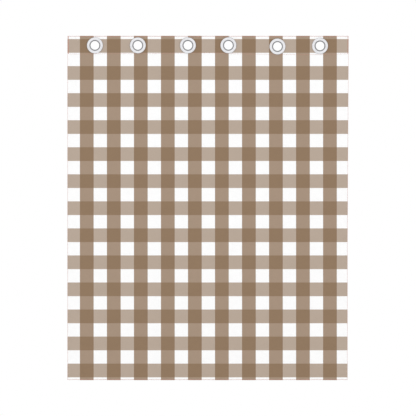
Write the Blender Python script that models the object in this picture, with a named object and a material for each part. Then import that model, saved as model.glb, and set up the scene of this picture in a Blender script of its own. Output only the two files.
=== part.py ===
"""A flat eyelet curtain: the cloth drop, the stitched heading strip and six set metal eyelets.

Metres, +Z up. The printed face looks along -Y. The origin is on the top edge, halfway between
the straight lower parts of the side edges.
"""

import math
from collections import namedtuple

import bmesh
import bpy

# Cloth sizes
WIDTH = 1.320
DROP = 1.623
PRINTED_FACE = -0.0008
HEADING_THICK = 0.0016
DROP_THICK = 0.0010

# The right edge runs out a little towards the top and is straight below this share of the drop.
FLARE_AT_TOP = 0.0054
FLARE_ENDS = 0.6

# Clearance between pieces that touch in the real curtain
GAP = 0.0003

# The stitched line under the heading wanders: place across the width, depth below the top edge.
SeamPoint = namedtuple("SeamPoint", "across depth")
SEAM = (
    SeamPoint(-0.660, 0.0848),
    SeamPoint(-0.620, 0.0862),
    SeamPoint(-0.488, 0.0844),
    SeamPoint(-0.271, 0.0839),
    SeamPoint(-0.139, 0.0820),
    SeamPoint(0.002, 0.0806),
    SeamPoint(0.153, 0.0848),
    SeamPoint(0.257, 0.0867),
    SeamPoint(0.389, 0.0881),
    SeamPoint(0.502, 0.0881),
    SeamPoint(0.629, 0.0858),
    SeamPoint(0.670, 0.0848),
)
SEAM_STEPS = 48

# Each eyelet's centre: place across the width, depth below the top edge.
Eyelet = namedtuple("Eyelet", "across depth")
EYELETS = (
    Eyelet(-0.5306, 0.0452),
    Eyelet(-0.3284, 0.0452),
    Eyelet(-0.0923, 0.0452),
    Eyelet(0.0986, 0.0448),
    Eyelet(0.3300, 0.0504),
    Eyelet(0.5303, 0.0476),
)

# Front ring: radii, and heights from the middle of the heading
METAL = 0.0008
BORE = 0.0203
FLANGE = 0.0375
CROWN = 0.0262
CROWN_HEIGHT = 0.0040
RIM_HEIGHT = 0.0016
CURL = 0.0012

# The ring's shoulder, in from its rim and out from the rim's height, and the start of its dome
SHOULDER_INSET = 0.0018
SHOULDER_RISE = 0.0011
DOME_INSET = 0.0052
DOME_DROP = 0.0002

# Back washer: its radius, how far its back stands off its seat, and insets from its rim
WASHER = 0.0345
WASHER_RISE = 0.0006
WASHER_BEVEL = 0.0012
WASHER_SEAT = 0.0025
WASHER_SHOULDER = 0.0070
WASHER_SLOPE = 0.0080

# Fineness of the round pieces, and the angle above which an edge is drawn sharp
ROUND_SIDES = 32
NECK_STEPS = 3
CURL_STEPS = 3
SHARP_ANGLE = math.radians(40)

# Length of the cutters that punch the heading
PUNCH_LENGTH = 0.0064

# Finishes
Finish = namedtuple("Finish", "colour roughness metallic")
CLOTH = Finish((0.51, 0.42, 0.34, 1.0), 0.9, 0.0)
RING_METAL = Finish((0.78, 0.78, 0.81, 1.0), 0.25, 1.0)
WASHER_METAL = Finish((0.78, 0.78, 0.81, 1.0), 0.35, 1.0)


def clear_scene():
    """Remove whatever the file opened with."""
    for item in list(bpy.data.objects):
        bpy.data.objects.remove(item, do_unlink=True)


def material(name, finish):
    """A Principled material of one finish."""
    made = bpy.data.materials.new(name)
    made.use_nodes = True
    shader = made.node_tree.nodes["Principled BSDF"]
    shader.inputs["Base Color"].default_value = finish.colour
    shader.inputs["Roughness"].default_value = finish.roughness
    shader.inputs["Metallic"].default_value = finish.metallic
    return made


def seam_depth(across):
    """Depth of the stitched line below the top edge, eased from one seam point to the next."""
    for left, right in zip(SEAM, SEAM[1:]):
        if across <= right.across:
            share = (across - left.across) / (right.across - left.across)
            eased = 0.5 - 0.5 * math.cos(math.pi * max(0.0, share))
            return left.depth + eased * (right.depth - left.depth)
    return SEAM[-1].depth


def right_edge(depth):
    """Place of the right edge at a depth below the top edge."""
    return WIDTH / 2 + FLARE_AT_TOP * max(0.0, 1 - depth / (FLARE_ENDS * DROP))


def seam_line(drop_by):
    """Points along the stitched line from left to right, lowered by drop_by."""
    left = -WIDTH / 2
    between = right_edge(seam_depth(WIDTH / 2) + drop_by) - left
    places = [left + between * step / SEAM_STEPS for step in range(SEAM_STEPS + 1)]
    return [(across, -seam_depth(across) - drop_by) for across in places]


def heading_outline():
    """Outline of the heading strip in X and Z."""
    return [(-WIDTH / 2, 0.0), *seam_line(0.0), (right_edge(0.0), 0.0)]


def drop_outline():
    """Outline of the cloth drop in X and Z, just under the stitched line."""
    straight = FLARE_ENDS * DROP
    return [
        *seam_line(GAP),
        (right_edge(straight), -straight),
        (WIDTH / 2, -DROP),
        (-WIDTH / 2, -DROP),
    ]


def plate(name, outline, front, back, made_of):
    """A flat piece: an outline in X and Z, run from its front plane to its back plane."""
    form = bmesh.new()
    face = form.faces.new([form.verts.new((x, front, z)) for x, z in outline])
    run = bmesh.ops.extrude_face_region(form, geom=[face])
    corners = [item for item in run["geom"] if isinstance(item, bmesh.types.BMVert)]
    bmesh.ops.translate(form, verts=corners, vec=(0.0, back - front, 0.0))
    bmesh.ops.recalc_face_normals(form, faces=form.faces)
    return placed(name, form, made_of)


def turned(name, profile, made_of):
    """A round piece: a closed profile of radius and height, spun about the Y axis."""
    form = bmesh.new()
    first = math.pi / ROUND_SIDES
    corners = [
        form.verts.new((radius * math.sin(first), height, radius * math.cos(first)))
        for radius, height in profile
    ]
    edges = [form.edges.new(pair) for pair in zip(corners, corners[1:] + corners[:1])]
    bmesh.ops.spin(
        form,
        geom=corners + edges,
        cent=(0.0, 0.0, 0.0),
        axis=(0.0, 1.0, 0.0),
        angle=2 * math.pi,
        steps=ROUND_SIDES,
        use_merge=True,
    )
    bmesh.ops.recalc_face_normals(form, faces=form.faces)
    piece = placed(name, form, made_of)
    piece.data.shade_smooth()
    piece.data.set_sharp_from_angle(angle=SHARP_ANGLE)
    return piece


def placed(name, form, made_of):
    """Turn a bmesh into an object of the scene."""
    mesh = bpy.data.meshes.new(name)
    form.to_mesh(mesh)
    form.free()
    mesh.materials.append(made_of)
    piece = bpy.data.objects.new(name, mesh)
    bpy.context.scene.collection.objects.link(piece)
    return piece


def cut_out(piece, cutter):
    """Cut another shape out, exactly."""
    step = piece.modifiers.new(f"cut_{cutter.name}", "BOOLEAN")
    step.operation = "DIFFERENCE"
    step.solver = "EXACT"
    step.object = cutter


def thickened(path, thick):
    """A closed profile around a path of radius and height, half of the thickness on each side."""
    sides = []
    for index, (radius, height) in enumerate(path):
        before = path[max(index - 1, 0)]
        after = path[min(index + 1, len(path) - 1)]
        along = (after[0] - before[0], after[1] - before[1])
        length = math.hypot(*along)
        across = (-along[1] / length * thick / 2, along[0] / length * thick / 2)
        sides.append(
            (
                (radius + across[0], height + across[1]),
                (radius - across[0], height - across[1]),
            )
        )
    return [one for one, _ in sides] + [other for _, other in reversed(sides)]


def arc(centre, radius, start, end, steps):
    """Points of radius and height on part of a circle, angles in degrees from straight out."""
    turns = [math.radians(start + (end - start) * step / steps) for step in range(steps + 1)]
    return [
        (centre[0] + radius[0] * math.cos(turn), centre[1] + radius[1] * math.sin(turn))
        for turn in turns
    ]


def eyelet_profile():
    """The front ring in section: rim, low dome, rounded neck, barrel and the curl over the washer."""
    wall = BORE + METAL / 2
    front = PRINTED_FACE - GAP
    crown = -CROWN_HEIGHT - METAL / 2
    neck = arc((CROWN, front), (CROWN - wall, crown - front), 90, 180, NECK_STEPS)
    barrel = [(wall, washer_back())]
    end_tilt = math.pi / (2 * CURL_STEPS)
    curl_rise = washer_back() + GAP + METAL / 2 * math.sin(end_tilt)
    curl = arc((wall + CURL, curl_rise), (CURL, CURL), 180, 0, CURL_STEPS)
    rim = [
        (FLANGE - METAL / 2, front),
        (FLANGE - METAL / 2, -RIM_HEIGHT),
        (FLANGE - SHOULDER_INSET, -RIM_HEIGHT - SHOULDER_RISE),
        (FLANGE - DOME_INSET, crown + DOME_DROP),
    ]
    return thickened(rim + neck + barrel + curl, METAL)


def washer_seat():
    """Height of the cloth side of the washer's rim, just behind the heading."""
    return PRINTED_FACE + HEADING_THICK + GAP


def washer_back():
    """Height of the washer's back face, where the curl of the barrel presses."""
    return washer_seat() + METAL + WASHER_RISE


def hole_radius():
    """Radius of the washer's hole and of the hole in the cloth, clear of the barrel."""
    return BORE + METAL + GAP


def washer_profile():
    """The back ring in section: flat at the barrel, sloping to the cloth at its rim."""
    back = washer_back()
    seat = washer_seat()
    return [
        (hole_radius(), back - METAL),
        (WASHER - WASHER_SLOPE, back - METAL),
        (WASHER - WASHER_SEAT, seat),
        (WASHER, seat),
        (WASHER - WASHER_BEVEL, seat + METAL),
        (WASHER - WASHER_SHOULDER, back),
        (hole_radius(), back),
    ]


def eyelet_hole(row, made_of):
    """The cutter of one punched hole in the heading."""
    form = bmesh.new()
    bmesh.ops.create_cone(
        form,
        cap_ends=True,
        segments=ROUND_SIDES,
        radius1=hole_radius(),
        radius2=hole_radius(),
        depth=PUNCH_LENGTH,
    )
    cutter = placed(f"punch_{row}", form, made_of)
    cutter.rotation_euler = (math.pi / 2, math.pi / ROUND_SIDES, 0.0)
    cutter.hide_render = True
    cutter.display_type = "WIRE"
    return cutter


def build_cloth():
    """The heading strip with its punched holes, and the drop below it."""
    heading_cloth = material("heading_cloth", CLOTH)
    drop_cloth = material("drop_cloth", CLOTH)
    heading_back = PRINTED_FACE + HEADING_THICK
    heading = plate("heading", heading_outline(), PRINTED_FACE, heading_back, heading_cloth)
    for row, place in enumerate(EYELETS, 1):
        cutter = eyelet_hole(row, heading_cloth)
        cutter.location = (place.across, 0.0, -place.depth)
        cut_out(heading, cutter)
    drop_back = PRINTED_FACE + DROP_THICK
    plate("panel", drop_outline(), PRINTED_FACE, drop_back, drop_cloth)


def build_eyelets():
    """A front ring and a back washer for each hole."""
    ring_metal = material("ring_metal", RING_METAL)
    washer_metal = material("washer_metal", WASHER_METAL)
    for row, place in enumerate(EYELETS, 1):
        ring = turned(f"eyelet_{row}", eyelet_profile(), ring_metal)
        washer = turned(f"washer_{row}", washer_profile(), washer_metal)
        for piece in (ring, washer):
            piece.location = (place.across, 0.0, -place.depth)


def main():
    """Build the whole curtain."""
    clear_scene()
    build_cloth()
    build_eyelets()


main()
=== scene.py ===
"""Looks of a flat eyelet curtain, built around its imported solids.

One printed check cloth with turned and sewn edges carries six set metal eyelets. Metres, +Z up. The
printed face looks along -Y. The origin is on the top edge, halfway across the straight lower part.
"""

import logging
import math
from collections.abc import Callable, Iterable
from dataclasses import dataclass, replace
from enum import Enum

import bmesh
import bpy
import numpy as np
from mathutils import Matrix, Vector


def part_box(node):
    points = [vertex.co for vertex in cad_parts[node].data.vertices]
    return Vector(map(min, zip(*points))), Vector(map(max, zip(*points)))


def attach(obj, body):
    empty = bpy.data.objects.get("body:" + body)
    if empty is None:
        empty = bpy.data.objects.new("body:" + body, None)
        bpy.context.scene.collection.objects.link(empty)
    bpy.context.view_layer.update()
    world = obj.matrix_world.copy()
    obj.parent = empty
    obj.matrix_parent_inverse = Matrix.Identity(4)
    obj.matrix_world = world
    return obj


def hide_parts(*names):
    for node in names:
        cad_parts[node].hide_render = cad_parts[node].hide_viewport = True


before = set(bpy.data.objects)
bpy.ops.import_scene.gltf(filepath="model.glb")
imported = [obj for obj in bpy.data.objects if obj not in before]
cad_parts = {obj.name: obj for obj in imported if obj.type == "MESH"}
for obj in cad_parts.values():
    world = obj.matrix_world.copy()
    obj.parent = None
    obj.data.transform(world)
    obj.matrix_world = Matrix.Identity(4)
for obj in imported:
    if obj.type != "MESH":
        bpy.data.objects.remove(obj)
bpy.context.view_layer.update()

LOG = logging.getLogger("curtain")
MM = 0.001
# Lengths that differ by less than this are the same
SAME = 0.01 * MM

Colour = tuple[float, float, float]
Point = tuple[float, float]
Lengths = float | np.ndarray
Finish = bpy.types.Material
Piece = bpy.types.Object
Socket = bpy.types.NodeSocket
Outputs = bpy.types.NodeOutputs
Value = float | tuple | Socket


def smoothstep(share: float) -> float:
    """Ease a share from 0 to 1, flat at both ends."""
    held = min(max(share, 0.0), 1.0)
    return held * held * (3 - 2 * held)


class Border(Enum):
    """Which of two facing edges a line of points belongs to, with the direction that runs in."""

    FIRST = 1
    LAST = -1


class Fold(Enum):
    """The layer of a turned edge that a line of points lies in."""

    FLAT = "the face of the curtain"
    BEND = "round the finished edge"
    BACK = "turned to the back"
    TUCK_BEND = "round the inner fold"
    TUCK = "tucked in between the layers"


class Face(Enum):
    """The two faces of the cloth, each with how strongly the print shows on it."""

    PRINTED = 1.0
    REVERSE = 0.5


class Route(Enum):
    """The lines that are sewn."""

    TOP = "top"
    BOTTOM = "bottom"
    LEFT = "left"
    RIGHT = "right"
    HEADING = "heading"
    HEADING_LEFT = "heading_left"
    HEADING_RIGHT = "heading_right"


@dataclass(frozen=True)
class EyeletPlace:
    """One eyelet's number from the left, and its centre's X and depth below the top edge."""

    number: int
    across: float
    depth: float


@dataclass(frozen=True)
class CurtainPlaces:
    """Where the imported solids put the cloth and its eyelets."""

    # Half the width of the straight lower part, and the height of the cloth
    half_width: float
    drop: float
    # Y of the printed face, and the thickness of the heading and the hems
    face: float
    thick: float
    eyelets: tuple[EyeletPlace, ...]
    # X and depth of points along the line sewn under the heading
    seam: np.ndarray
    # How far the right edge runs out at the top, and the share of the drop where it gets straight
    flare: float
    flare_ends: float = 0.6

    @classmethod
    def from_solids(cls, wander: float = 8.5 * MM) -> "CurtainPlaces":
        """Read the places off the heading, the panel and the eyelets.

        Args:
            wander: more than the heading's lower edge rises anywhere above its lowest point.

        Returns:
            The places, in metres.
        """
        head_low, head_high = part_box("heading")
        panel_low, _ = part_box("panel")
        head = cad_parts["heading"]
        corners = [head.matrix_world @ point.co for point in head.data.vertices]
        deepest = max(-corner.z for corner in corners)
        edge = {(round(c.x, 5), round(-c.z, 5)) for c in corners if -c.z > deepest - wander}
        eyelets = []
        for number in range(1, sum(name.startswith("eyelet_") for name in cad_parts) + 1):
            low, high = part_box(f"eyelet_{number}")
            middle = (low + high) / 2
            eyelets.append(EyeletPlace(number, middle.x, -middle.z))
        return cls(
            half_width=-panel_low.x,
            drop=-panel_low.z,
            face=head_low.y,
            thick=head_high.y - head_low.y,
            eyelets=tuple(eyelets),
            seam=np.array(sorted(edge)),
            flare=head_high.x + panel_low.x,
        )

    def seam_depth(self, across: Lengths) -> Lengths:
        """Depth of the sewn line under the heading at an X."""
        return np.interp(across, self.seam[:, 0], self.seam[:, 1])

    def seam_middle(self) -> float:
        """The sewn line's average depth."""
        return float(self.seam[:, 1].mean())

    def run_out(self, depth: Lengths) -> Lengths:
        """How far the right edge runs out at a depth."""
        return self.flare * np.maximum(0.0, 1 - depth / (self.flare_ends * self.drop))

    def side_inset(self, across: Lengths) -> Lengths:
        """Distance in from the nearer side edge, by the straight lower part."""
        return self.half_width - np.abs(across)


class NodeSheet:
    """A node tree, with short calls that add nodes and join them."""

    def __init__(self, tree: bpy.types.NodeTree) -> None:
        """Take the tree that the nodes go into."""
        self.tree = tree

    def fill(self, node: bpy.types.Node, inputs: dict) -> None:
        """Link or set a node's inputs.

        Args:
            node: the node.
            inputs: an output socket, a number or a colour for each, by the input's name or number.
        """
        for key, value in inputs.items():
            if isinstance(value, Socket):
                self.tree.links.new(value, node.inputs[key])
            else:
                node.inputs[key].default_value = value

    def add(self, kind: str, inputs: dict | None = None, **settings: object) -> bpy.types.Node:
        """Add a node.

        Args:
            kind: the node's type.
            inputs: what its inputs get.
            **settings: the node's own settings.

        Returns:
            The new node.
        """
        node = self.tree.nodes.new(kind)
        for name, value in settings.items():
            setattr(node, name, value)
        self.fill(node, inputs or {})
        return node

    def math(self, operation: str, *values: Value, kind: str = "ShaderNodeMath") -> Socket:
        """Add a Math node and give its output."""
        return self.add(kind, dict(enumerate(values)), operation=operation).outputs[0]

    def scale(self, vector: Value, factor: Value) -> Socket:
        """Scale a vector or a colour."""
        inputs = {0: vector, "Scale": factor}
        return self.add("ShaderNodeVectorMath", inputs, operation="SCALE").outputs[0]

    def about(self, value: Value, middle: float, factor: float) -> Socket:
        """Measure a value from a middle and scale it."""
        return self.math("MULTIPLY", self.math("SUBTRACT", value, middle), factor)

    def ramp(self, value: Value, ends: Point, low: Value = 0.0, high: Value = 1.0) -> Socket:
        """Ease a value from one range, given by its ends, into another."""
        inputs = {0: value, 1: ends[0], 2: ends[1], 3: low, 4: high}
        return self.add("ShaderNodeMapRange", inputs, interpolation_type="SMOOTHSTEP").outputs[0]

    def choose(self, share: Value, first: Value, second: Value) -> Socket:
        """Mix two numbers."""
        inputs = {0: share, 2: first, 3: second}
        return self.add("ShaderNodeMix", inputs, data_type="FLOAT").outputs[0]

    def blend(self, share: Value, first: Value, second: Value) -> Socket:
        """Mix two colours."""
        inputs = {0: share, 6: first, 7: second}
        return self.add("ShaderNodeMix", inputs, data_type="RGBA").outputs[2]

    def noise(self, place: Value, scale: float, detail: float = 2.0, output: int = 0) -> Socket:
        """Add a Noise Texture and give its grey output, or its colour as output 1, round 0.5."""
        inputs = {"Vector": place, "Scale": scale, "Detail": detail}
        return self.add("ShaderNodeTexNoise", inputs).outputs[output]

    def join(self, x: Value, y: Value, z: Value = 0.0) -> Socket:
        """Join three numbers into a vector."""
        return self.add("ShaderNodeCombineXYZ", {0: x, 1: y, 2: z}).outputs[0]

    def split(self, vector: Value) -> Outputs:
        """Take a vector apart into its three numbers."""
        return self.add("ShaderNodeSeparateXYZ", {0: vector}).outputs

    def own_place(self) -> Socket:
        """Give the place on the piece, in Object coordinates."""
        return self.add("ShaderNodeTexCoord").outputs["Object"]

    def bump(self, height: Value) -> Socket:
        """Turn a height in metres into a normal."""
        inputs = {"Height": height, "Distance": 1.0, "Strength": 1.0}
        return self.add("ShaderNodeBump", inputs).outputs[0]


@dataclass(frozen=True)
class EffectGroup:
    """A shader node group, built once. It takes named sockets and gives named plain values."""

    name: str
    # Name and socket kind of each input, and names of the outputs
    takes: tuple[tuple[str, str], ...]
    gives: tuple[str, ...]
    # Fills the group, from its node sheet, its inputs and its output node
    wire: Callable[[NodeSheet, Outputs, bpy.types.Node], None]

    def tree(self) -> bpy.types.NodeTree:
        """Find the group, or build it the first time.

        Returns:
            The group's node tree.
        """
        known = bpy.data.node_groups.get(self.name)
        if known:
            return known
        made = bpy.data.node_groups.new(self.name, "ShaderNodeTree")
        for label, kind in self.takes:
            made.interface.new_socket(label, in_out="INPUT", socket_type=f"NodeSocket{kind}")
        for label in self.gives:
            made.interface.new_socket(label, in_out="OUTPUT", socket_type="NodeSocketFloat")
        sheet = NodeSheet(made)
        self.wire(sheet, sheet.add("NodeGroupInput").outputs, sheet.add("NodeGroupOutput"))
        return made

    def place(self, sheet: NodeSheet, **values: Value) -> Outputs:
        """Put the group into a material.

        Args:
            sheet: the material's node sheet.
            **values: what each input gets, by its name in small letters.

        Returns:
            The group's outputs.
        """
        inputs = {key.capitalize(): value for key, value in values.items()}
        return sheet.add("ShaderNodeGroup", inputs, node_tree=self.tree()).outputs


def wire_plain_weave(sheet: NodeSheet, takes: Outputs, gives: bpy.types.Node) -> None:
    """Fill the plain weave: warp and weft pass over and under each other in turn.

    Args:
        sheet: the group's node sheet.
        takes: Place on the flat cloth in metres, and the Pitch between yarns.
        gives: Height of the yarn on top, and its own Tone round 0.5.
    """
    drift_scale, drift_pitches = 55.0, 2.2
    tone_scale, along_yarn, weft_layer = 0.9, 0.012, 7.0
    vectors = "ShaderNodeVectorMath"
    drift = sheet.noise(takes["Place"], drift_scale, 1.0, output=1)
    reach = sheet.math("MULTIPLY", takes["Pitch"], drift_pitches)
    pulled = sheet.scale(sheet.math("SUBTRACT", drift, (0.5, 0.5, 0.5), kind=vectors), reach)
    moved = sheet.split(sheet.math("ADD", takes["Place"], pulled, kind=vectors))
    across, along = (sheet.math("DIVIDE", moved[axis], takes["Pitch"]) for axis in (0, 1))
    warp, weft = (
        sheet.math("SINE", sheet.math("MULTIPLY", count, math.pi)) for count in (across, along)
    )
    both = sheet.math("MULTIPLY", warp, weft)
    warp_height = sheet.math("ADD", sheet.math("ABSOLUTE", warp), both)
    weft_height = sheet.math("SUBTRACT", sheet.math("ABSOLUTE", weft), both)
    height = sheet.math("MULTIPLY", sheet.math("MAXIMUM", warp_height, weft_height), 0.5)
    weft_place = sheet.join(sheet.math("MULTIPLY", across, along_yarn), along, weft_layer)
    warp_place = sheet.join(across, sheet.math("MULTIPLY", along, along_yarn))
    tones = [sheet.noise(place, tone_scale) for place in (weft_place, warp_place)]
    on_top = sheet.math("GREATER_THAN", warp_height, weft_height)
    sheet.fill(gives, {"Height": height, "Tone": sheet.choose(on_top, *tones)})


@dataclass(frozen=True)
class Repeat:
    """Parallel printed stripes: the middle of one, the step to the next and their width."""

    centre: float
    period: float
    width: float


# The stripes by their X on the flat cloth, and the bands by their height under the top edge
STRIPES = Repeat(centre=-0.56895, period=0.12735, width=0.0647)
BANDS = Repeat(centre=-0.0477, period=0.12747, width=0.0648)


def wire_check_print(sheet: NodeSheet, takes: Outputs, gives: bpy.types.Node) -> None:
    """Fill the printed check: where its stripes and bands are, with slightly bled edges.

    Args:
        sheet: the group's node sheet.
        takes: Place on the flat cloth in metres.
        gives: the masks Stripe and Band.
    """
    grain_scale, bleed, soft = 1300.0, 0.5 * MM, 0.2 * MM
    wobble = sheet.about(sheet.noise(takes["Place"], grain_scale), 0.5, bleed)
    split = sheet.split(takes["Place"])
    for axis, (label, repeat) in enumerate((("Stripe", STRIPES), ("Band", BANDS))):
        shifted = sheet.math("SUBTRACT", sheet.math("ADD", split[axis], wobble), repeat.centre)
        away = sheet.math("PINGPONG", shifted, repeat.period / 2)
        edge = repeat.width / 2
        sheet.fill(gives, {label: sheet.ramp(away, (edge - soft, edge + soft), 1.0, 0.0)})


def wire_handled_metal(sheet: NodeSheet, takes: Outputs, gives: bpy.types.Node) -> None:
    """Fill the handling marks on plated metal: cloudy smudges and hair-thin scratches.

    Args:
        sheet: the group's node sheet.
        takes: Place on the piece in metres.
        gives: the masks Smudge and Scratch.
    """
    smudge_scale, smudge_detail, smudge_ends = 42.0, 4.0, (0.42, 0.7)
    scratch_scale, hair = 95.0, 0.004
    break_scale, break_ends = 260.0, (0.48, 0.6)
    place = takes["Place"]
    smudge = sheet.ramp(sheet.noise(place, smudge_scale, smudge_detail), smudge_ends)
    lines = sheet.math("SUBTRACT", sheet.noise(place, scratch_scale, 1.0), 0.5)
    thin = sheet.ramp(sheet.math("ABSOLUTE", lines), (0.0, hair), 1.0, 0.0)
    broken = sheet.ramp(sheet.noise(place, break_scale, 1.0), break_ends)
    sheet.fill(gives, {"Smudge": smudge, "Scratch": sheet.math("MULTIPLY", thin, broken)})


PLACE = ("Place", "Vector")
PLAIN_WEAVE = EffectGroup(
    "plain_weave", (PLACE, ("Pitch", "Float")), ("Height", "Tone"), wire_plain_weave
)
CHECK_PRINT = EffectGroup("check_print", (PLACE,), ("Stripe", "Band"), wire_check_print)
HANDLED_METAL = EffectGroup("handled_metal", (PLACE,), ("Smudge", "Scratch"), wire_handled_metal)


def new_material(name: str) -> tuple[Finish, NodeSheet, bpy.types.Node]:
    """Start a material.

    Args:
        name: the material's name.

    Returns:
        The material, its node sheet and its Principled shader.
    """
    made = bpy.data.materials.new(name)
    made.use_nodes = True
    return made, NodeSheet(made.node_tree), made.node_tree.nodes["Principled BSDF"]


def opaque(colour: Iterable[float]) -> tuple[float, float, float, float]:
    """A colour with its alpha."""
    return (*colour, 1.0)


@dataclass(frozen=True)
class PrintedCloth:
    """One face of a plain-woven cotton printed with a two-way check."""

    face: Face
    ground: Colour = (0.925, 0.925, 0.925)
    stripe: Colour = (0.358, 0.264, 0.193)
    band: Colour = (0.446, 0.361, 0.293)
    crossing: Colour = (0.263, 0.175, 0.107)
    # Distance between yarns, how far they rise, and the height where they have their own colour,
    # below which painted shade darkens them and above which painted light brightens them
    pitch: float = 0.4 * MM
    yarn_height: float = 0.06 * MM
    yarn_middle: float = 0.6
    # How much painted shade darkens the hollows between yarns and painted light brightens their
    # tops, and how much the yarns differ
    hollow_shade_strength: float = 0.12
    tone_spread: float = 0.12
    # How far the cloth is drawn up beside a sewn line, and how finely
    pucker: float = 0.9 * MM
    pucker_scale: float = 210.0
    roughness: float = 0.88
    gloss: float = 0.25
    sheen: float = 0.06
    sheen_roughness: float = 0.5

    def ink(self, colour: Colour) -> tuple[float, float, float, float]:
        """A printed colour as strong as this face shows it."""
        strength = self.face.value
        return opaque(g + strength * (c - g) for g, c in zip(self.ground, colour))

    def material(self) -> Finish:
        """Build the material.

        Returns:
            The finished material, which reads the cloth's own UV map and its sewn places.
        """
        made, sheet, shader = new_material(f"cloth_{self.face.name.lower()}")
        place = sheet.add("ShaderNodeUVMap", uv_map=CurtainCloth.uv_name).outputs[0]
        check = CHECK_PRINT.place(sheet, place=place)
        weave = PLAIN_WEAVE.place(sheet, place=place, pitch=self.pitch)
        off_stripe = sheet.blend(check["Band"], opaque(self.ground), self.ink(self.band))
        on_stripe = sheet.blend(check["Band"], self.ink(self.stripe), self.ink(self.crossing))
        printed = sheet.blend(check["Stripe"], off_stripe, on_stripe)
        # Painted shade darkens the hollows between yarns and painted light brightens their tops;
        # each yarn's own tone also differs at random
        painted_weave_shade = sheet.about(weave["Height"], self.yarn_middle, self.hollow_shade_strength)
        tone = sheet.about(weave["Tone"], 0.5, self.tone_spread)
        level = sheet.math("ADD", sheet.math("ADD", painted_weave_shade, tone), 1.0)
        sewn = sheet.add("ShaderNodeAttribute", attribute_name=CurtainCloth.sewn_name)
        ripple = sheet.math("SUBTRACT", sheet.noise(place, self.pucker_scale), 0.5)
        near_seam = sheet.math("MULTIPLY", ripple, sewn.outputs["Fac"])
        pucker = sheet.math("MULTIPLY", near_seam, self.pucker)
        yarns = sheet.math("MULTIPLY", weave["Height"], self.yarn_height)
        inputs = {
            "Base Color": sheet.scale(printed, level),
            "Normal": sheet.bump(sheet.math("ADD", pucker, yarns)),
            "Roughness": self.roughness,
            "Specular IOR Level": self.gloss,
            "Sheen Weight": self.sheen,
            "Sheen Roughness": self.sheen_roughness,
        }
        sheet.fill(shader, inputs)
        return made


@dataclass(frozen=True)
class SewingThread:
    """Spun sewing thread, a little uneven in colour, with painted shade where its plies turn away.
    """

    # The thread's own colour, and a darker copy of it that paints shade where the plies turn away
    colour: Colour = (0.63, 0.29, 0.23)
    painted_ply_shade: Colour = (0.54, 0.24, 0.185)
    # Fineness, unevenness and height of the plies
    ply_scale: float = 900.0
    ply_wander: float = 3.0
    ply_height: float = 0.04 * MM
    uneven_scale: float = 700.0
    roughness: float = 0.6
    sheen: float = 0.1

    def material(self) -> Finish:
        """Build the material.

        Returns:
            The finished material, which reads Object coordinates.
        """
        made, sheet, shader = new_material("sewing_thread")
        place = sheet.own_place()
        inputs = {"Vector": place, "Scale": self.ply_scale, "Distortion": self.ply_wander}
        wave = sheet.add("ShaderNodeTexWave", inputs, bands_direction="DIAGONAL")
        plies = wave.outputs["Fac"]
        # The colour mixes towards the painted ply shade where the plies turn away, and at random
        # where the thread is uneven
        share = sheet.math("MULTIPLY", plies, sheet.noise(place, self.uneven_scale))
        inputs = {
            "Base Color": sheet.blend(share, opaque(self.painted_ply_shade), opaque(self.colour)),
            "Normal": sheet.bump(sheet.math("MULTIPLY", plies, self.ply_height)),
            "Roughness": self.roughness,
            "Sheen Weight": self.sheen,
        }
        sheet.fill(shader, inputs)
        return made


@dataclass(frozen=True)
class PlatedMetal:
    """Bright nickel plate, lightly smudged and scratched by handling."""

    name: str
    colour: Colour = (0.88, 0.88, 0.905)
    # Roughness of clean plate, and what a smudge and a scratch add to it
    smooth: float = 0.16
    smudged: float = 0.07
    scratched: float = 0.2
    # How much of its colour the plate keeps under a smudge
    dulled: float = 0.94
    scratch_depth: float = 0.01 * MM

    def material(self) -> Finish:
        """Build the material.

        Returns:
            The finished material, which reads Object coordinates.
        """
        made, sheet, shader = new_material(self.name)
        marks = HANDLED_METAL.place(sheet, place=sheet.own_place())
        smudge = sheet.math("MULTIPLY", marks["Smudge"], self.smudged)
        scratch = sheet.math("MULTIPLY", marks["Scratch"], self.scratched)
        dull = opaque(self.dulled * part for part in self.colour)
        inputs = {
            "Base Color": sheet.blend(marks["Smudge"], opaque(self.colour), dull),
            "Normal": sheet.bump(sheet.math("MULTIPLY", marks["Scratch"], -self.scratch_depth)),
            "Roughness": sheet.math("ADD", sheet.math("ADD", smudge, scratch), self.smooth),
            "Metallic": 1.0,
        }
        sheet.fill(shader, inputs)
        return made


@dataclass(frozen=True)
class StudioFloor:
    """A pale matt floor with a faint mottle."""

    light: Colour = (0.90, 0.90, 0.90)
    dark: Colour = (0.87, 0.87, 0.87)
    mottle_scale: float = 2.5
    mottle_detail: float = 4.0
    roughness: float = 0.8

    def material(self) -> Finish:
        """Build the material.

        Returns:
            The finished material, which reads Object coordinates.
        """
        made, sheet, shader = new_material("studio_floor")
        mottle = sheet.noise(sheet.own_place(), self.mottle_scale, self.mottle_detail)
        colour = sheet.blend(mottle, opaque(self.light), opaque(self.dark))
        sheet.fill(shader, {"Base Color": colour, "Roughness": self.roughness})
        return made


def set_down(name: str, data: bpy.types.ID) -> Piece:
    """Put a new object into the scene, at the origin.

    Args:
        name: the object's name.
        data: its mesh, camera or light.

    Returns:
        The object.
    """
    made = bpy.data.objects.new(name, data)
    bpy.context.scene.collection.objects.link(made)
    return made


def dress(mesh: bpy.types.Mesh, *finishes: Finish) -> Piece:
    """Give a mesh its materials and put it into the scene as a smooth piece of the same name.

    Args:
        mesh: the mesh.
        *finishes: its materials.

    Returns:
        The new piece.
    """
    for finish in finishes:
        mesh.materials.append(finish)
    mesh.shade_smooth()
    return set_down(mesh.name, mesh)


def new_piece(name: str, form: bmesh.types.BMesh, *finishes: Finish) -> Piece:
    """Turn a bmesh into a piece.

    Args:
        name: the piece's name.
        form: the bmesh, which is freed.
        *finishes: its materials.

    Returns:
        The new piece.
    """
    mesh = bpy.data.meshes.new(name)
    form.to_mesh(mesh)
    form.free()
    return dress(mesh, *finishes)


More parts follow.
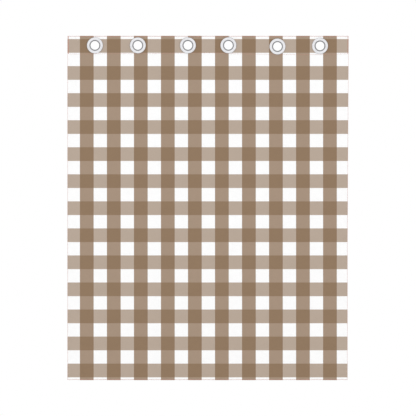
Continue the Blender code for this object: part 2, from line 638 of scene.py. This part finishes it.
@dataclass(frozen=True)
class Line:
    """A line of points along the cloth, by its border and the layer that it lies in.

    Its amount is the distance in from the finished edge on a straight layer, the share of the half
    turn on a bend, and the distance back from the fold on the tuck. It follows the wander of the
    heading's seam by a share.
    """

    border: Border
    fold: Fold
    amount: float
    follows: float = 0.0


@dataclass(frozen=True)
class Section:
    """A point of a turned edge in section."""

    # Distance in from the finished edge, and behind the face of the curtain
    inset: float
    rise: float
    # Distance along the flat cloth, from where the bend starts
    run: float
    # The direction to the reverse, by its part that runs in and its part that runs back
    inwards: float
    backwards: float


@dataclass(frozen=True)
class TurnedEdge:
    """A cloth edge turned to the back, with its raw edge tucked in.

    Its width runs from the finished edge to the inner fold, and its radii are the printed face's.
    """

    width: float
    tuck: float
    tuck_radius: float = 0.525 * MM
    bend_steps: int = 8
    tuck_steps: int = 6

    def section(self, line: Line, radius: float, width: float) -> Section:
        """Place a line in section.

        Args:
            line: the line, with its distance already following the seam.
            radius: radius round the finished edge.
            width: from the finished edge to the inner fold here.

        Returns:
            The section point.
        """
        small, amount = self.tuck_radius, line.amount
        turn = math.pi * amount
        sine, cosine = math.sin(turn), math.cos(turn)
        round_edge = math.pi * radius
        round_tuck = round_edge + width - small - radius
        match line.fold:
            case Fold.FLAT:
                return Section(amount, 0.0, radius - amount, 0.0, 1.0)
            case Fold.BEND:
                inset, rise = radius * (1 - sine), radius * (1 - cosine)
                return Section(inset, rise, radius * turn, sine, cosine)
            case Fold.BACK:
                return Section(amount, 2 * radius, round_edge + amount - radius, 0.0, -1.0)
            case Fold.TUCK_BEND:
                inset, rise = width - small + small * sine, 2 * radius - small + small * cosine
                return Section(inset, rise, round_tuck + small * turn, -sine, -cosine)
            case Fold.TUCK:
                run = round_tuck + math.pi * small + amount
                return Section(width - small - amount, 2 * (radius - small), run, 0.0, 1.0)

    def lines(self, border: Border, back: Iterable[Line]) -> list[Line]:
        """List the lines of the turned part.

        Args:
            border: the border that it is on.
            back: those on the turned-back layer, from its inner fold out to the finished edge.

        Returns:
            The lines from the raw edge to the start of the face.
        """
        inner, outer = (
            [Line(border, fold, 1 - step / steps) for step in range(steps + 1)]
            for fold, steps in ((Fold.TUCK_BEND, self.tuck_steps), (Fold.BEND, self.bend_steps))
        )
        return [Line(border, Fold.TUCK, self.tuck), *inner, *back, *outer]


@dataclass
class CurtainCloth:
    """The cloth: one printed sheet, hemmed at the sides and bottom and turned over at the top."""

    uv_name = "flat_cloth"
    sewn_name = "sewn"

    places: CurtainPlaces
    # Thickness of one layer
    thick: float = 0.42 * MM
    # The hems, and the heading, whose width is given by its seam
    side_hem: TurnedEdge = TurnedEdge(4.2 * MM, 2.4 * MM)
    bottom_hem: TurnedEdge = TurnedEdge(5.4 * MM, 3.2 * MM)
    heading: TurnedEdge = TurnedEdge(0.0, 8.0 * MM)
    # How far the heading's inner fold lies below its sewn line
    seam_margin: float = 2.6 * MM
    # The layers in a corner: their thickness, how far in it lasts, and where it has thinned out
    corner_thick: float = 3.3 * MM
    corner_inset: float = 7.0 * MM
    corner_fade: float = 14.0 * MM
    # Distance in from the right edge over which its run is spread
    flare_fade: float = 50.0 * MM
    # Largest distance between lines of points, and the share of a step that is left out
    spacing: float = 11.0 * MM
    spare_step: float = 0.01
    # The square round an eyelet: half its side, the cells along it, its top, and the hole in it
    hole_reach: float = 30.0 * MM
    hole_cells: int = 8
    hole_top: float = 16.5 * MM
    hole_radius: float = 21.6 * MM
    # How far out a hole is held while faces are bridged to it, as two loops in one plane have no
    # clear direction
    bridge_lift: float = 20.0 * MM
    # Lines of points beside the sewn lines, and how far under the seam they are half straight
    edge_line: float = 2.6 * MM
    seam_rows: tuple[float, ...] = (-3.0 * MM, -1.2 * MM, 0.0, 1.2 * MM, 3.0 * MM)
    seam_fade: float = 10.0 * MM
    # How far stitches press the cloth in, and how far this and the puckers reach
    pinch: float = 0.06 * MM
    pinch_reach: float = 1.5 * MM
    pucker_reach: float = 9.0 * MM
    # How far under the heading the cloth starts to hang loosely, and over what depth it does
    slack_from: float = 4.0 * MM
    slack_over: float = 0.45
    # Its waves: height, radians a metre across and down, and turn at the start
    waves: tuple[tuple[float, float, float, float], ...] = (
        (0.55 * MM, 7.1, 0.6, 0.4),
        (0.30 * MM, 17.3, -1.1, 1.9),
        (0.25 * MM, 1.3, 3.7, 0.0),
    )

    def end_radius(self, inset: float) -> float:
        """Radius of the top and bottom folds, larger over the side hems, by the inset."""
        share = smoothstep((self.corner_fade - inset) / (self.corner_fade - self.corner_inset))
        return (self.places.thick + share * (self.corner_thick - self.places.thick)) / 2

    def relief(self, across: float, depth: float) -> float:
        """How far along Y the loose cloth under the heading stands from flat."""
        free = smoothstep((depth - self.places.seam_middle() - self.slack_from) / self.slack_over)
        return free * sum(
            height * math.sin(sideways * across + down * depth + start)
            for height, sideways, down, start in self.waves
        )

    def nearness(self, across: float, depth: float, reach: float) -> float:
        """How near a point is to a sewn line.

        Args:
            across: X.
            depth: depth below the top edge.
            reach: distance over which it fades.

        Returns:
            1 on a sewn line, down to 0.
        """
        edges = (self.places.side_inset(across), depth, self.places.drop - depth)
        gaps = [edge - self.edge_line for edge in edges]
        nearest = min(map(abs, [*gaps, depth - self.places.seam_depth(across)]))
        return math.exp(-((nearest / reach) ** 2))

    def spread(self, marks: list[float]) -> list[float]:
        """Fill between marks with even steps.

        Args:
            marks: places that get a line, in order.

        Returns:
            The marks and the places between them, with the eyelets' own cells where two marks are
            the sides of an eyelet's square.
        """
        filled = []
        for start, end in zip(marks, marks[1:]):
            steps = max(1, math.ceil((end - start) / self.spacing - self.spare_step))
            if abs(end - start - 2 * self.hole_reach) < SAME:
                steps = self.hole_cells
            filled += [start + (end - start) * step / steps for step in range(steps)]
        return [*filled, marks[-1]]

    def columns(self) -> list[Line]:
        """List the lines that run down the cloth.

        Returns:
            The lines from the left raw edge to the right one.
        """
        places = self.places
        left, right = (
            self.side_hem.lines(border, [Line(border, Fold.BACK, self.edge_line)])
            for border in Border
        )
        insets = (self.edge_line, self.corner_inset, self.corner_fade)
        marks = [inset - places.half_width for inset in insets]
        for place in places.eyelets:
            marks += [place.across - self.hole_reach, place.across + self.hole_reach]
        marks += [places.half_width - inset for inset in reversed(insets)]
        for x in self.spread(marks):
            border = Border.FIRST if x < 0 else Border.LAST
            left.append(Line(border, Fold.FLAT, float(places.side_inset(x))))
        return left + right[::-1]

    def rows(self) -> list[Line]:
        """List the lines that run across the cloth.

        Returns:
            The lines from the heading's raw edge to the bottom one.
        """
        first, last = Border
        middle = self.places.seam_middle()
        hole_rows = self.spread([self.hole_top, self.hole_top + 2 * self.hole_reach])
        upper = [self.edge_line, self.corner_inset, *hole_rows]
        face = [Line(first, Fold.FLAT, depth) for depth in upper]
        face += [Line(first, Fold.FLAT, middle + offset, 1.0) for offset in self.seam_rows]
        back = [replace(line, fold=Fold.BACK) for line in reversed(face[:-1])]
        face.append(Line(first, Fold.FLAT, middle + self.seam_fade, 0.5))
        lower = self.spread([middle + 2 * self.seam_fade, self.places.drop - self.corner_fade])
        face += [Line(first, Fold.FLAT, depth) for depth in lower]
        hem = self.bottom_hem.lines(last, [Line(last, Fold.BACK, self.edge_line)])
        hem += [Line(last, Fold.FLAT, inset) for inset in (self.edge_line, self.corner_inset)]
        return self.heading.lines(first, back) + face + hem[::-1]

    def point(self, column: Line, row: Line) -> tuple[Vector, Vector]:
        """Place one point of the cloth.

        Args:
            column: the line down the cloth that it is on.
            row: the line across the cloth that it is on.

        Returns:
            The point in space, and its place on the flat cloth.
        """
        places, inwards = self.places, column.border.value
        side_radius = places.thick / 2
        side = self.side_hem.section(column, side_radius, self.side_hem.width)
        across = -inwards * (places.half_width - side.inset)
        radius = self.end_radius(side.inset)
        top = row.border is Border.FIRST
        seam = float(places.seam_depth(across))
        row = replace(row, amount=row.amount + row.follows * (seam - places.seam_middle()))
        edge = self.heading if top else self.bottom_hem
        end = edge.section(row, radius, seam + self.seam_margin if top else edge.width)
        depth, flat_depth = end.inset + side.rise * end.inwards, radius - end.run
        if not top:
            depth, flat_depth = places.drop - depth, places.drop - flat_depth
        out = 0.0
        if column.border is Border.LAST:
            out = float(places.run_out(depth)) * smoothstep(1 - side.inset / self.flare_fade)
        pressed = self.pinch * self.nearness(across, depth, self.pinch_reach)
        rise = end.rise + side.rise * end.backwards + pressed * side.backwards * end.backwards
        spot = Vector((across + out, places.face + rise + self.relief(across, depth), -depth))
        flat_across = across + out + inwards * (side_radius - side.run - side.inset)
        return spot, Vector((flat_across, -flat_depth, 0.0))

    def clipped(self, column: Line, row: Line) -> bool:
        """Whether a row's tuck is cut away over the side hems, to thin the corner."""
        beside = column.fold is not Fold.FLAT or column.amount < self.corner_inset + SAME
        return beside and row.fold in (Fold.TUCK, Fold.TUCK_BEND)

    def sheet(self) -> bmesh.types.BMesh:
        """Build the cloth as a single layer, its printed face outwards.

        Returns:
            The bmesh, with the place on the flat cloth in metres as its UV map, and the nearness to
            a sewn line of each point.
        """
        columns, rows = self.columns(), self.rows()
        wide, long = len(columns) - 1, len(rows) - 1
        form = bmesh.new()
        flat = form.verts.layers.float_vector.new("flat")
        sewn = form.verts.layers.float.new(self.sewn_name)
        bmesh.ops.create_grid(form, x_segments=wide, y_segments=long, size=0.5)
        spare = []
        squares: dict[tuple[EyeletPlace, Fold], list[bmesh.types.BMFace]] = {}
        for cell in form.faces:
            middle = cell.calc_center_median()
            left, upper = int((middle.x + 0.5) * wide), int((0.5 - middle.y) * long)
            sides, ends = columns[left : left + 2], rows[upper : upper + 2]
            if all(self.clipped(column, row) for column in sides for row in ends):
                spare.append(cell)
            place = self.square_of(sides, ends)
            if place:
                squares.setdefault((place, rows[upper].fold), []).append(cell)
        for vert in form.verts:
            column = columns[round((vert.co.x + 0.5) * wide)]
            row = rows[round((0.5 - vert.co.y) * long)]
            vert.co, vert[flat] = self.point(column, row)
            vert[sewn] = self.nearness(vert.co.x, -vert.co.z, self.pucker_reach)
        for (place, fold), cells in squares.items():
            self.punch(form, place, fold, cells)
        bmesh.ops.delete(form, geom=spare, context="FACES")
        flat = form.verts.layers.float_vector["flat"]
        uv = form.loops.layers.uv.new(self.uv_name)
        for face in form.faces:
            for loop in face.loops:
                loop[uv].uv = loop.vert[flat].xy
        return form

    def square_of(self, sides: list[Line], ends: list[Line]) -> EyeletPlace | None:
        """Find the eyelet whose square a cell is in.

        Args:
            sides: the two lines down the cloth beside the cell.
            ends: the two lines across it.

        Returns:
            The eyelet, if the cell is in any square.
        """
        layers = {line.fold for line in ends}
        depth = sum(line.amount for line in ends) / 2 - self.hole_top
        in_rows = layers in ({Fold.FLAT}, {Fold.BACK}) and 0 < depth < 2 * self.hole_reach
        folded = any(line.fold is not Fold.FLAT for line in sides)
        if folded or not in_rows or ends[0].border is Border.LAST:
            return None
        half = self.places.half_width
        across = sum(-line.border.value * (half - line.amount) for line in sides) / 2
        near = (p for p in self.places.eyelets if abs(across - p.across) < self.hole_reach)
        return next(near, None)

    def punch(self, form: bmesh.types.BMesh, place: EyeletPlace, fold: Fold, cells: list) -> None:
        """Replace a square of cells by a collar of faces round a hole.

        Args:
            form: the cloth.
            place: the eyelet.
            fold: the layer that the square is in.
            cells: the square's faces.
        """
        flat = form.verts.layers.float_vector["flat"]
        inside = set(cells)
        rim = {
            edge
            for cell in cells
            for edge in cell.edges
            if sum(face in inside for face in edge.link_faces) == 1
        }
        layer = cells[0].calc_center_median().y
        sample = cells[0].verts[0]
        upside = -1.0 if fold is Fold.BACK else 1.0
        turned = sample[flat].y - upside * sample.co.z
        bmesh.ops.delete(form, geom=cells, context="FACES")
        lifted = Matrix.Translation((place.across, layer - self.bridge_lift, -place.depth))
        ring = bmesh.ops.create_circle(
            form,
            segments=4 * self.hole_cells,
            radius=self.hole_radius,
            matrix=lifted @ Matrix.Rotation(math.pi / 2, 4, "X"),
        )["verts"]
        for vert in ring:
            vert[flat] = Vector((vert.co.x, turned + upside * vert.co.z, 0.0))
        hole = {edge for vert in ring for edge in vert.link_edges}
        collar = bmesh.ops.bridge_loops(form, edges=[*rim, *hole])["faces"]
        bmesh.ops.translate(form, verts=ring, vec=(0.0, self.bridge_lift, 0.0))
        for face in collar:
            face.normal_update()
            if face.normal.y * upside > 0:
                face.normal_flip()
            face.smooth = True

    def turned_in(self, edge: TurnedEdge, width: float) -> float:
        """How far past its finished edge the cloth was cut, by the width to the inner fold."""
        raw, radius = Line(Border.FIRST, Fold.TUCK, edge.tuck), self.places.thick / 2
        return edge.section(raw, radius, width).run - radius

    def cut_size(self) -> tuple[float, float]:
        """Work out the size that the cloth was cut to.

        Returns:
            Its width, where it is widest, and its length.
        """
        places = self.places
        side = self.turned_in(self.side_hem, self.side_hem.width)
        bottom = self.turned_in(self.bottom_hem, self.bottom_hem.width)
        top = self.turned_in(self.heading, places.seam_middle() + self.seam_margin)
        return 2 * (places.half_width + side) + places.flare, places.drop + bottom + top

    def build(self) -> Piece:
        """Build the cloth, dress it and set it in the frame.

        Returns:
            The finished piece.
        """
        printed, reverse = (PrintedCloth(face).material() for face in Face)
        piece = new_piece("cloth", self.sheet(), printed, reverse)
        layer = piece.modifiers.new("layer", "SOLIDIFY")
        layer.thickness = self.thick
        layer.offset = -1.0
        layer.use_even_offset = True
        layer.material_offset = 1
        layer.material_offset_rim = 1
        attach(piece, "root")
        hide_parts("heading", "panel")
        return piece


@dataclass(frozen=True)
class StitchLine:
    """A row of narrow zigzag stitches that holds a turned edge down."""

    route: Route
    # Distance of its middle from the finished edge, which the heading's own line doesn't use
    inset: float
    # How far each stitch moves on, and how far it reaches to each side of the middle
    step: float
    swing: float = 0.9 * MM


@dataclass
class Sewing:
    """The stitches on both faces of the cloth."""

    cloth: CurtainCloth
    # Radius round an eyelet in which its rings hide the stitches
    clear: float
    # Thickness of the thread, and its height on the cloth as a share of that
    thread: float = 0.58 * MM
    flatness: float = 0.6
    # Sides of a stitch in section, and rings of faces along it
    around: int = 5
    along: int = 3
    # How far a line stops short of the cloth's edges
    end: float = 1.2 * MM
    # Share by which the swing of a stitch may be off, and the seed of its chance
    uneven: float = 0.1
    seed: int = 11
    lines: tuple[StitchLine, ...] = (
        StitchLine(Route.TOP, 2.1 * MM, 0.41 * MM, 1.1 * MM),
        StitchLine(Route.BOTTOM, 2.9 * MM, 0.54 * MM),
        StitchLine(Route.LEFT, 1.15 * MM, 0.49 * MM, 0.65 * MM),
        StitchLine(Route.RIGHT, 1.0 * MM, 0.52 * MM, 0.65 * MM),
        StitchLine(Route.HEADING, 0.0, 1.1 * MM),
        StitchLine(Route.HEADING_LEFT, 4.5 * MM, 0.34 * MM, 1.2 * MM),
        StitchLine(Route.HEADING_RIGHT, 4.8 * MM, 0.48 * MM),
    )

    def middle(self, line: StitchLine) -> tuple[np.ndarray, np.ndarray]:
        """Find the needle places along the middle of a line.

        Args:
            line: the sewn line.

        Returns:
            X and depth of each.
        """
        places, route = self.cloth.places, line.route
        half, drop = places.half_width, places.drop
        if route in (Route.TOP, Route.BOTTOM, Route.HEADING):
            right = half if route is Route.BOTTOM else half + places.flare
            across = np.arange(-half + self.end, right - self.end, line.step)
            if route is Route.HEADING:
                return across, places.seam_depth(across)
            depth = line.inset if route is Route.TOP else drop - line.inset
            return across, np.full_like(across, depth)
        last = drop - self.end if route in (Route.LEFT, Route.RIGHT) else places.seam_middle()
        depth = np.arange(self.end, last, line.step)
        if route in (Route.LEFT, Route.HEADING_LEFT):
            return np.full_like(depth, -half + line.inset), depth
        return half - line.inset + places.run_out(depth), depth

    def height(self, across: float, depth: float, back: bool) -> float:
        """Find the cloth's outer surface.

        Args:
            across: X.
            depth: depth below the top edge.
            back: whether the back surface is meant, not the front.

        Returns:
            The surface's Y.
        """
        cloth, places = self.cloth, self.cloth.places
        at_right = across > places.half_width - cloth.flare_fade
        out = float(places.run_out(depth)) if at_right else 0.0
        inset = max(places.side_inset(across - out), 0.0)
        ease = places.thick / 2
        edge = min(inset, depth, places.drop - depth, ease)
        rounding = ease - math.sqrt(max(ease**2 - (ease - edge) ** 2, 0.0))
        stand = places.face + cloth.relief(across, depth)
        if not back:
            return stand + rounding
        in_heading = depth < float(places.seam_depth(across)) + cloth.seam_margin
        if in_heading or depth > places.drop - cloth.bottom_hem.width:
            return stand + 2 * cloth.end_radius(inset) - rounding
        return stand + (places.thick if inset < cloth.side_hem.width else cloth.thick) - rounding

    def stitches(self, line: StitchLine, back: bool, chance: np.random.Generator) -> np.ndarray:
        """Work out where a line's stitches lie on one face, but for those that a ring hides.

        Args:
            line: the sewn line.
            back: whether they are on the back.
            chance: where the small unevenness comes from.

        Returns:
            For each stitch four vectors: its middle, and its half length, half width and half
            height in the directions that they run.
        """
        across, depth = self.middle(line)
        way = np.stack([np.gradient(across), np.gradient(depth)])
        way /= np.hypot(*way)
        side = np.where(np.arange(len(across)) % 2, 1.0, -1.0) * line.swing
        side *= chance.uniform(1 - self.uneven, 1 + self.uneven, len(across))
        across = across - way[1] * side
        depth = depth + way[0] * side
        mid_across = (across[1:] + across[:-1]) / 2
        mid_depth = (depth[1:] + depth[:-1]) / 2
        run = np.stack([np.diff(across), np.zeros(len(across) - 1), -np.diff(depth)], axis=1)
        length = np.linalg.norm(run, axis=1, keepdims=True)
        unit = run / length
        out = np.array([0.0, 1.0 if back else -1.0, 0.0])
        heights = [self.height(x, d, back) for x, d in zip(mid_across, mid_depth)]
        thick = self.thread / 2
        vectors = [
            np.stack([mid_across, heights, -mid_depth], axis=1),
            unit * (length / 2 + thick / 2),
            np.cross(unit, out) * thick,
            np.broadcast_to(out, unit.shape) * thick * self.flatness,
        ]
        shown = np.ones(len(unit), dtype=bool)
        for place in self.cloth.places.eyelets:
            shown &= np.hypot(mid_across - place.across, mid_depth - place.depth) > self.clear
        return np.stack(vectors, axis=1)[shown]

    def build_line(self, line: StitchLine, finish: Finish) -> Piece:
        """Build one sewn line as one piece, front and back, of small stretched balls.

        Args:
            line: the sewn line.
            finish: the thread's material.

        Returns:
            The finished piece.
        """
        chance = np.random.default_rng(self.seed)
        boxes = np.concatenate([self.stitches(line, back, chance) for back in (False, True)])
        form = bmesh.new()
        bmesh.ops.create_uvsphere(form, u_segments=self.around, v_segments=self.along, radius=1.0)
        # The ball's poles are the ends of the stitch
        ball = np.array([vert.co.zxy for vert in form.verts])
        # A stitch's directions are left-handed, so its faces list their corners backwards
        faces = [[vert.index for vert in face.verts][::-1] for face in form.faces]
        form.free()
        points = boxes[:, None, 0] + np.einsum("pa,sak->spk", ball, boxes[:, 1:])
        starts = range(0, len(boxes) * len(ball), len(ball))
        joined = [[start + corner for corner in face] for start in starts for face in faces]
        mesh = bpy.data.meshes.new(f"stitches_{line.route.value}")
        mesh.from_pydata(points.reshape(-1, 3).tolist(), [], joined)
        piece = dress(mesh, finish)
        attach(piece, "root")
        return piece

    def build(self) -> list[Piece]:
        """Build every sewn line."""
        finish = SewingThread().material()
        return [self.build_line(line, finish) for line in self.lines]


def rounded(
    path: list[Point], rounds: int, closed: bool = False, bite: float = 0.25
) -> list[Point]:
    """Round a path by cutting its corners.

    Args:
        path: radius and height of its points.
        rounds: how often the corners are cut.
        closed: whether its end joins its start.
        bite: share of each side that a cut takes off at each end.

    Returns:
        The rounded path, with its two ends kept where it is open.
    """
    for _ in range(rounds):
        cut = [
            tuple(a + share * (b - a) for a, b in zip(start, end))
            for start, end in zip(path, path[1:] + path[:1] if closed else path[1:])
            for share in (bite, 1 - bite)
        ]
        path = cut if closed else [path[0], *cut[1:-1], path[-1]]
    return path


@dataclass
class EyeletSet:
    """The set eyelets: each a domed front ring with its barrel curled over a back washer.

    Heights run along +Y from the middle of the heading, and a point is a radius and a height.
    """

    places: CurtainPlaces
    # Thickness of the sheet metal, and its clearance to the cloth
    metal: float = 0.8 * MM
    gap: float = 0.05 * MM
    # Inner radius of the barrel, outer radius of the ring, and cloth round it without stitches
    bore: float = 20.3 * MM
    flange: float = 38.3 * MM
    margin: float = 0.5 * MM
    # The middle of the ring's metal, from the height of its rim over the dome to the barrel
    rim: float = -1.6 * MM
    shoulder: Point = (37.8 * MM, -3.2 * MM)
    slope_end: Point = (37.1 * MM, -3.8 * MM)
    brow: Point = (33.6 * MM, -4.36 * MM)
    crown: Point = (26.4 * MM, -4.4 * MM)
    throat: Point = (21.9 * MM, -1.6 * MM)
    ring_rounds: int = 3
    # Radius of the barrel's curled end
    curl: float = 1.2 * MM
    curl_steps: int = 8
    # Outer radius of the washer, how far its middle stands off, and distances in from its rim
    washer: float = 34.5 * MM
    washer_rise: float = 0.85 * MM
    washer_seat: float = 2.5 * MM
    washer_slope: float = 8.0 * MM
    washer_bevel: float = 1.2 * MM
    washer_shoulder: float = 7.0 * MM
    washer_rounds: int = 2
    # Steps round each piece
    sides: int = 96

    def washer_back(self) -> float:
        """Height of the washer's back face."""
        return self.places.thick / 2 + self.gap + self.metal + self.washer_rise

    def ring_section(self) -> list[Point]:
        """Draw the front ring, with half of its metal on each side of its middle.

        Returns:
            The closed section, from the rim over the dome, down the barrel and round the curl.
        """
        wall = self.bore + self.metal / 2
        front = -self.places.thick / 2 - self.gap
        edge = self.flange - self.metal / 2
        lip = self.washer_back() + self.gap
        rim = [(edge, front), (edge, self.rim), self.shoulder, self.slope_end, self.brow]
        neck = [self.crown, self.throat, (wall, front), (wall, lip)]
        curl = [
            (wall + self.curl * (1 + math.cos(turn)), lip + self.curl * math.sin(turn))
            for turn in np.linspace(math.pi, 0.0, self.curl_steps + 1)
        ]
        path = np.array([*rounded(rim + neck, self.ring_rounds)[:-1], *curl])
        along = np.gradient(path, axis=0)
        along /= np.linalg.norm(along, axis=1, keepdims=True)
        across = np.stack([-along[:, 1], along[:, 0]], axis=1) * self.metal / 2
        return [tuple(point) for point in np.concatenate([path + across, (path - across)[::-1]])]

    def washer_section(self) -> list[Point]:
        """Draw the washer: flat round the barrel and bent down to the cloth.

        Returns:
            The closed section.
        """
        back = self.washer_back()
        seat = self.places.thick / 2 + self.gap
        inner = self.bore + self.metal + self.gap
        outline = [
            (inner, back - self.metal),
            (self.washer - self.washer_slope, back - self.metal),
            (self.washer - self.washer_seat, seat),
            (self.washer, seat),
            (self.washer - self.washer_bevel, seat + self.metal),
            (self.washer - self.washer_shoulder, back),
            (inner, back),
        ]
        return rounded(outline, self.washer_rounds, closed=True)

    def spun(self, name: str, section: list[Point], place: EyeletPlace, finish: Finish) -> Piece:
        """Spin a section into a round piece.

        Args:
            name: the piece's name.
            section: its closed section.
            place: the eyelet.
            finish: its material.

        Returns:
            The finished piece.
        """
        form = bmesh.new()
        corners = [form.verts.new((radius, height, 0.0)) for radius, height in section]
        edges = [form.edges.new(pair) for pair in zip(corners, corners[1:] + corners[:1])]
        bmesh.ops.spin(
            form,
            geom=corners + edges,
            cent=(0.0, 0.0, 0.0),
            axis=(0.0, 1.0, 0.0),
            angle=2 * math.pi,
            steps=self.sides,
            use_merge=True,
        )
        bmesh.ops.recalc_face_normals(form, faces=form.faces)
        bmesh.ops.translate(form, verts=form.verts, vec=(place.across, 0.0, -place.depth))
        # The spin lists its faces in another order in each run
        form.verts.index_update()
        count = len(form.verts)
        form.faces.sort(key=lambda face: face.verts[0].index * count + face.verts[1].index)
        return new_piece(name, form, finish)

    def build(self) -> list[Piece]:
        """Build the front rings and washers, and set them in the frame.

        Returns:
            The finished pieces.
        """
        ring_finish = PlatedMetal("plated_ring").material()
        washer_finish = PlatedMetal("plated_washer", smooth=0.24).material()
        kinds = (
            ("eyelet", "ring", self.ring_section(), ring_finish),
            ("washer", "back_washer", self.washer_section(), washer_finish),
        )
        pieces = []
        for place in self.places.eyelets:
            for node, name, section, finish in kinds:
                piece = self.spun(f"{name}_{place.number}", section, place, finish)
                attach(piece, "root")
                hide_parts(f"{node}_{place.number}")
                pieces.append(piece)
        return pieces


@dataclass
class Studio:
    """The floor, the light and the camera."""

    # What the camera sees: its width, and the X and Z in the middle
    view_width: float = 1.9606
    view_across: float = 0.00243
    view_height: float = -0.8116
    camera_distance: float = 6.0
    # Z of the floor, and half its side
    floor_height: float = -2.0
    floor_reach: float = 20.0
    # Light that falls on cloth from all round, and what metal mirrors ahead and at the sides
    soft_light: float = 1.04
    bright_gloss: float = 0.955
    dark_gloss: float = 0.27
    # How nearly ahead a mirrored direction starts to brighten, and where it is fully bright
    gloss_ends: Point = (0.70, 0.88)
    # The light from the upper left, with its width in the sky in degrees
    key_strength: float = 0.44
    key_spread: float = 100.0
    key_place: tuple[float, float, float] = (-2.2, -5.2, 1.8)

    def build_camera(self) -> None:
        """Set the camera square to the cloth."""
        lens = bpy.data.cameras.new("camera")
        lens.type = "ORTHO"
        lens.ortho_scale = self.view_width
        camera = set_down("camera", lens)
        camera.location = (self.view_across, -self.camera_distance, self.view_height)
        camera.rotation_euler = (math.pi / 2, 0.0, 0.0)
        bpy.context.scene.camera = camera

    def build_world(self) -> None:
        """Surround the curtain with white light, darker at the sides for what metal mirrors."""
        world = bpy.data.worlds.new("studio")
        world.use_nodes = True
        bpy.context.scene.world = world
        sheet = NodeSheet(world.node_tree)
        ray = sheet.add("ShaderNodeLightPath").outputs
        direction = sheet.split(sheet.add("ShaderNodeTexCoord").outputs["Generated"])
        ahead = sheet.math("ABSOLUTE", direction[1])
        gloss = sheet.ramp(ahead, self.gloss_ends, self.dark_gloss, self.bright_gloss)
        lit = sheet.choose(ray["Is Glossy Ray"], self.soft_light, gloss)
        strength = sheet.choose(ray["Is Camera Ray"], lit, 1.0)
        background = world.node_tree.nodes["Background"]
        sheet.fill(background, {"Strength": strength, "Color": opaque((1.0, 1.0, 1.0))})

    def build_key(self) -> None:
        """Add one broad, even light from the upper left."""
        light = bpy.data.lights.new("key", "SUN")
        light.energy = self.key_strength
        light.angle = math.radians(self.key_spread)
        lamp = set_down("key", light)
        lamp.location = self.key_place
        lamp.rotation_euler = (-lamp.location).to_track_quat("-Z", "Y").to_euler()
        lamp.visible_glossy = False

    def build_floor(self) -> None:
        """Lay the floor under the hem."""
        form = bmesh.new()
        bmesh.ops.create_grid(form, x_segments=1, y_segments=1, size=self.floor_reach)
        bmesh.ops.translate(form, verts=form.verts, vec=(0.0, 0.0, self.floor_height))
        floor = new_piece("floor", form, StudioFloor().material())
        floor.visible_glossy = False

    def build(self) -> None:
        """Build the whole studio."""
        bpy.context.scene.view_settings.view_transform = "Standard"
        self.build_camera()
        self.build_world()
        self.build_key()
        self.build_floor()


def main() -> None:
    """Build the curtain and its studio, and report each piece."""
    logging.basicConfig(level=logging.INFO, format="%(name)s: %(message)s")
    places = CurtainPlaces.from_solids()
    Studio().build()
    cloth = CurtainCloth(places)
    sheet = cloth.build()
    eyelets = EyeletSet(places)
    rings = eyelets.build()
    stitches = Sewing(cloth, clear=eyelets.flange + eyelets.margin).build()
    cloth.cut_size()
    for piece in [sheet, *stitches, *rings]:
        LOG.info("%s: %d faces before modifiers", piece.name, len(piece.data.polygons))
    LOG.info("cloth cut %.3f m wide and %.3f m long", *cloth.cut_size())


if __name__ == "__main__":
    main()
